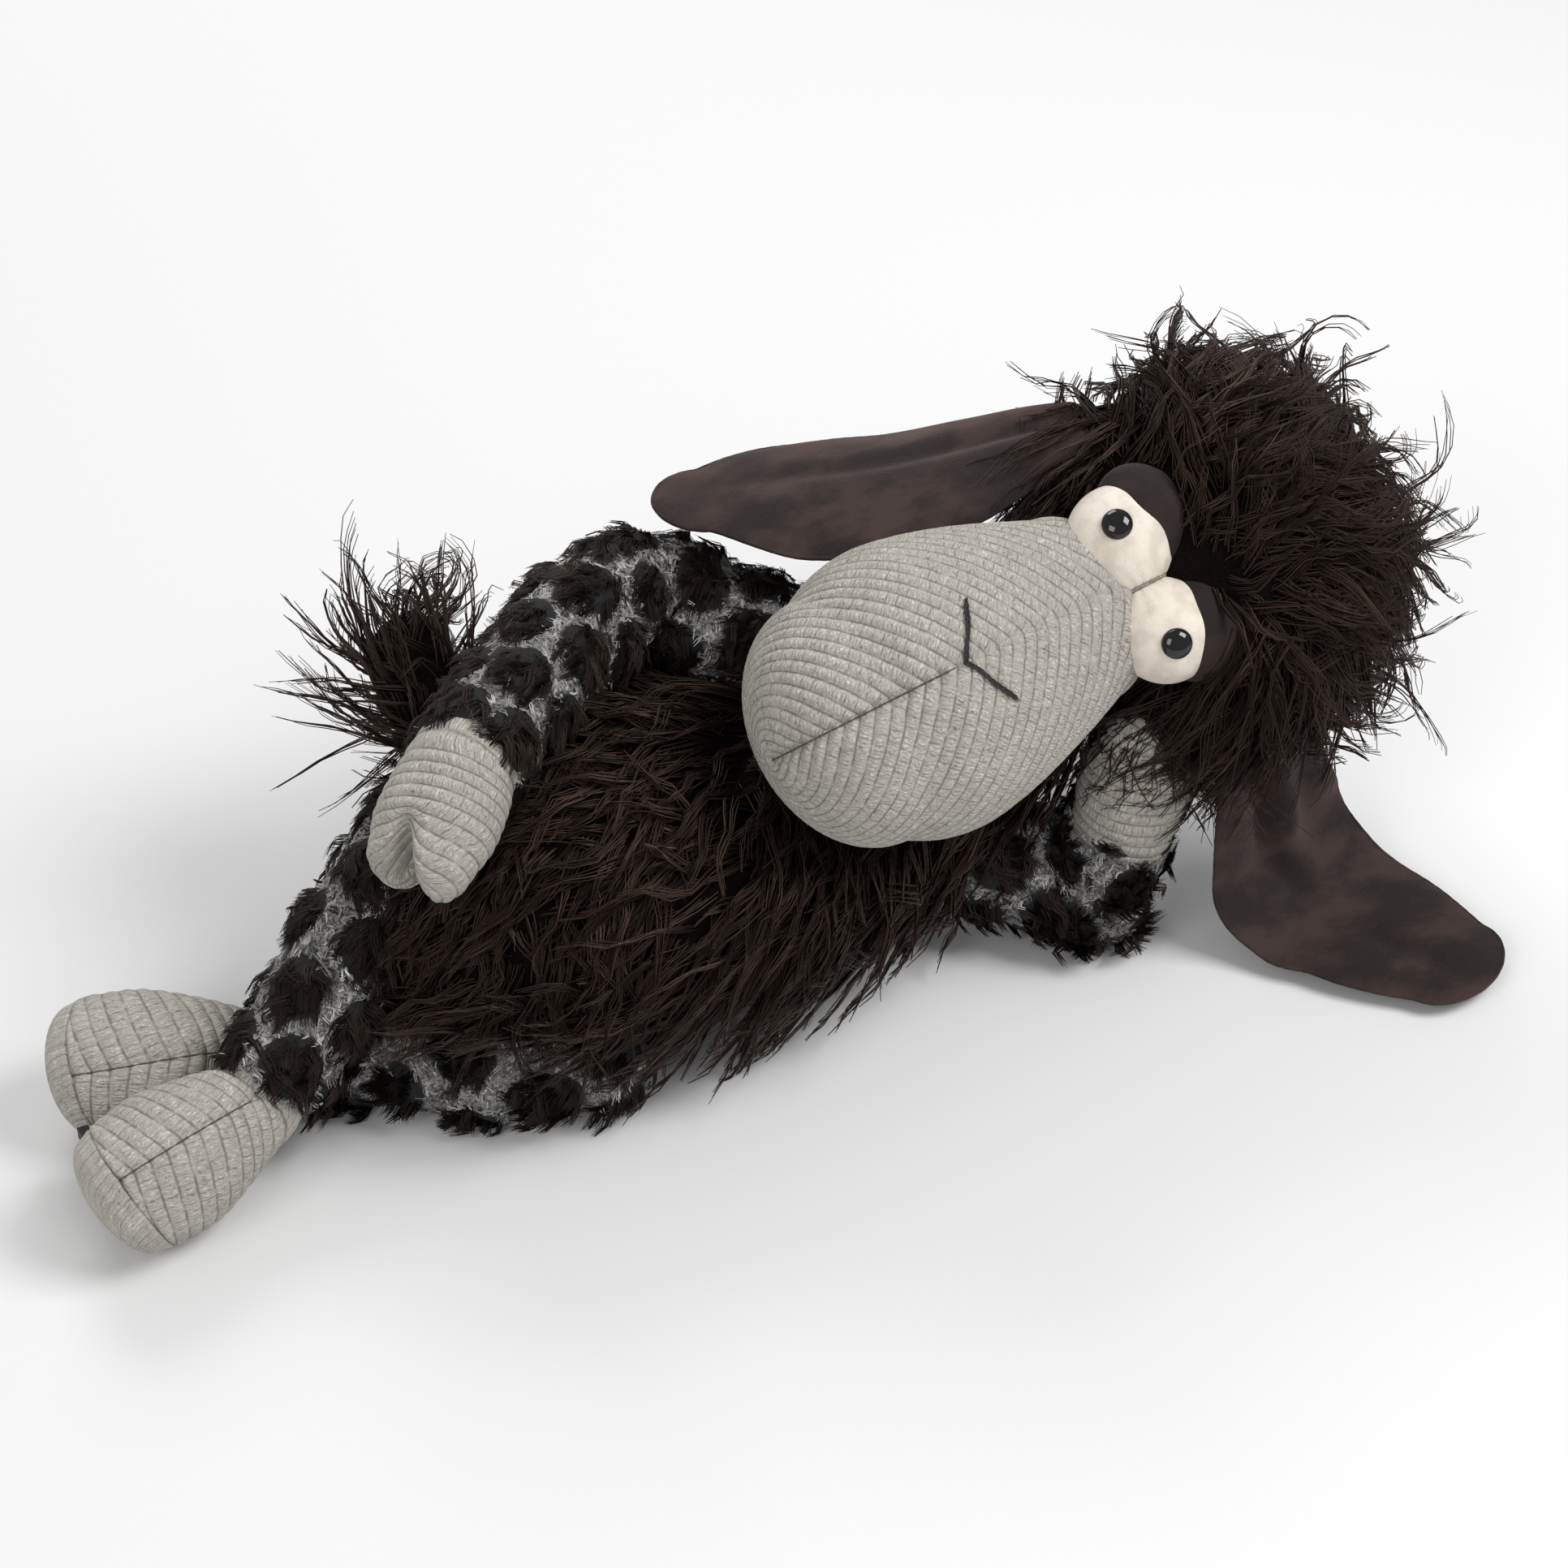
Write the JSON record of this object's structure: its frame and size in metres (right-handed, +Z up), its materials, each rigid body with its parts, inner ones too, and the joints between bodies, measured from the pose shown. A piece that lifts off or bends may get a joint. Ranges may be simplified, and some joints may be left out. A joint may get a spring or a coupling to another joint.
{
  "type": "plush sheep",
  "caption": "Plush sheep lying on its side with its head propped on a forefoot: shaggy body and head, rib-knit muzzle, hooves and feet, long velour ears, jointed limbs and tail.",
  "frame": {"origin": "on the floor, on the flat of the torso it lies on, under the torso's middle", "axes": "+X from the feet towards the crown, -Y towards the belly, +Z up"},
  "size_m": [0.428, 0.1927, 0.1677],
  "materials": {
    "shaggy_fur": "long wavy black pile",
    "dotted_plush": "grey melange plush with fluffy black dots",
    "rib_knit": "chunky warm-grey melange rib knit",
    "ear_velour": "short dark brown velour with a slight sheen",
    "eye_velour": "short warm white velour",
    "pupil_gloss": "glossy black dome",
    "nose_thread": "thick black embroidery thread",
    "stuffing": "white polyester fibre",
    "pellet_cotton": "plain cotton bag of pellets",
    "washer_plastic": "white moulded washer"
  },
  "bodies": {
    "torso": {"torso_fur_skin": "shaggy_fur", "torso_stuffing": "stuffing", "seat_pellet_pouch": "pellet_cotton"},
    "tail": {"tail_tuft": "shaggy_fur"},
    "head": {"head_fur_skin": "shaggy_fur", "head_stuffing": "stuffing", "topknot_tuft": "shaggy_fur", "muzzle_knit_cover": "rib_knit", "muzzle_stuffing": "stuffing", "nose_stitch": "nose_thread", "eye_pad_right": "eye_velour", "pupil_right": "pupil_gloss", "eye_washer_right": "washer_plastic", "eyelid_right": "ear_velour", "eye_pad_left": "eye_velour", "pupil_left": "pupil_gloss", "eye_washer_left": "washer_plastic", "eyelid_left": "ear_velour"},
    "right_ear": {"ear_right_outer": "ear_velour", "ear_right_lining": "ear_velour"},
    "left_ear": {"ear_left_outer": "ear_velour", "ear_left_lining": "ear_velour"},
    "right_arm": {"right_arm_sleeve": "dotted_plush", "right_hoof_cover": "rib_knit", "right_arm_stuffing": "stuffing"},
    "left_arm": {"left_upper_arm_sleeve": "dotted_plush", "left_upper_arm_stuffing": "stuffing"},
    "left_forearm": {"left_forearm_sleeve": "dotted_plush", "left_hoof_cover": "rib_knit", "left_forearm_stuffing": "stuffing"},
    "right_leg": {"right_leg_sleeve": "dotted_plush", "right_foot_cover": "rib_knit", "right_leg_stuffing": "stuffing", "right_sole": "rib_knit", "seam_tab": "nose_thread"},
    "left_leg": {"left_leg_sleeve": "dotted_plush", "left_foot_cover": "rib_knit", "left_leg_stuffing": "stuffing", "left_sole": "rib_knit"}
  },
  "joints": [
    {"name": "neck_nod", "type": "hinge", "parent": "torso", "child": "head", "pos_m": [0.11808, 0, 0.07986], "axis": [0, 0, 1], "range_deg": [0, 20]},
    {"name": "right_ear_flap", "type": "hinge", "parent": "head", "child": "right_ear", "pos_m": [0.13631, 0.02489, 0.14531], "axis": [0.2588, 0.9659, 0], "range_deg": [0, 70]},
    {"name": "left_ear_flap", "type": "hinge", "parent": "head", "child": "left_ear", "pos_m": [0.1642, -0.04734, 0.07286], "axis": [-0.9135, -0.4067, 0], "range_deg": [0, 40]},
    {"name": "right_arm_turn", "type": "hinge", "parent": "torso", "child": "right_arm", "pos_m": [0.05681, 0.02321, 0.08016], "axis": [-0.8066, 0.4289, 0.4067], "range_deg": [0, 55]},
    {"name": "left_arm_swing", "type": "hinge", "parent": "torso", "child": "left_arm", "pos_m": [0.0791, -0.01137, 0.03212], "axis": [0, 0, 1], "range_deg": [-20, 0]},
    {"name": "left_forearm_fold", "type": "hinge", "parent": "left_arm", "child": "left_forearm", "pos_m": [0.11596, -0.03352, 0.017], "axis": [1, 0, 0], "range_deg": [0, 70]},
    {"name": "right_leg_swing", "type": "hinge", "parent": "torso", "child": "right_leg", "pos_m": [-0.08388, 0.01422, 0.06866], "axis": [0, 0, 1], "range_deg": [0, 25]},
    {"name": "left_leg_swing", "type": "hinge", "parent": "torso", "child": "left_leg", "pos_m": [-0.0597, -0.01817, 0.01575], "axis": [0, 0, 1], "range_deg": [-14, 0]},
    {"name": "tail_lift", "type": "hinge", "parent": "torso", "child": "tail", "pos_m": [-0.06404, 0.04141, 0.08038], "axis": [1, 0, 0], "range_deg": [0, 30]}
  ]
}
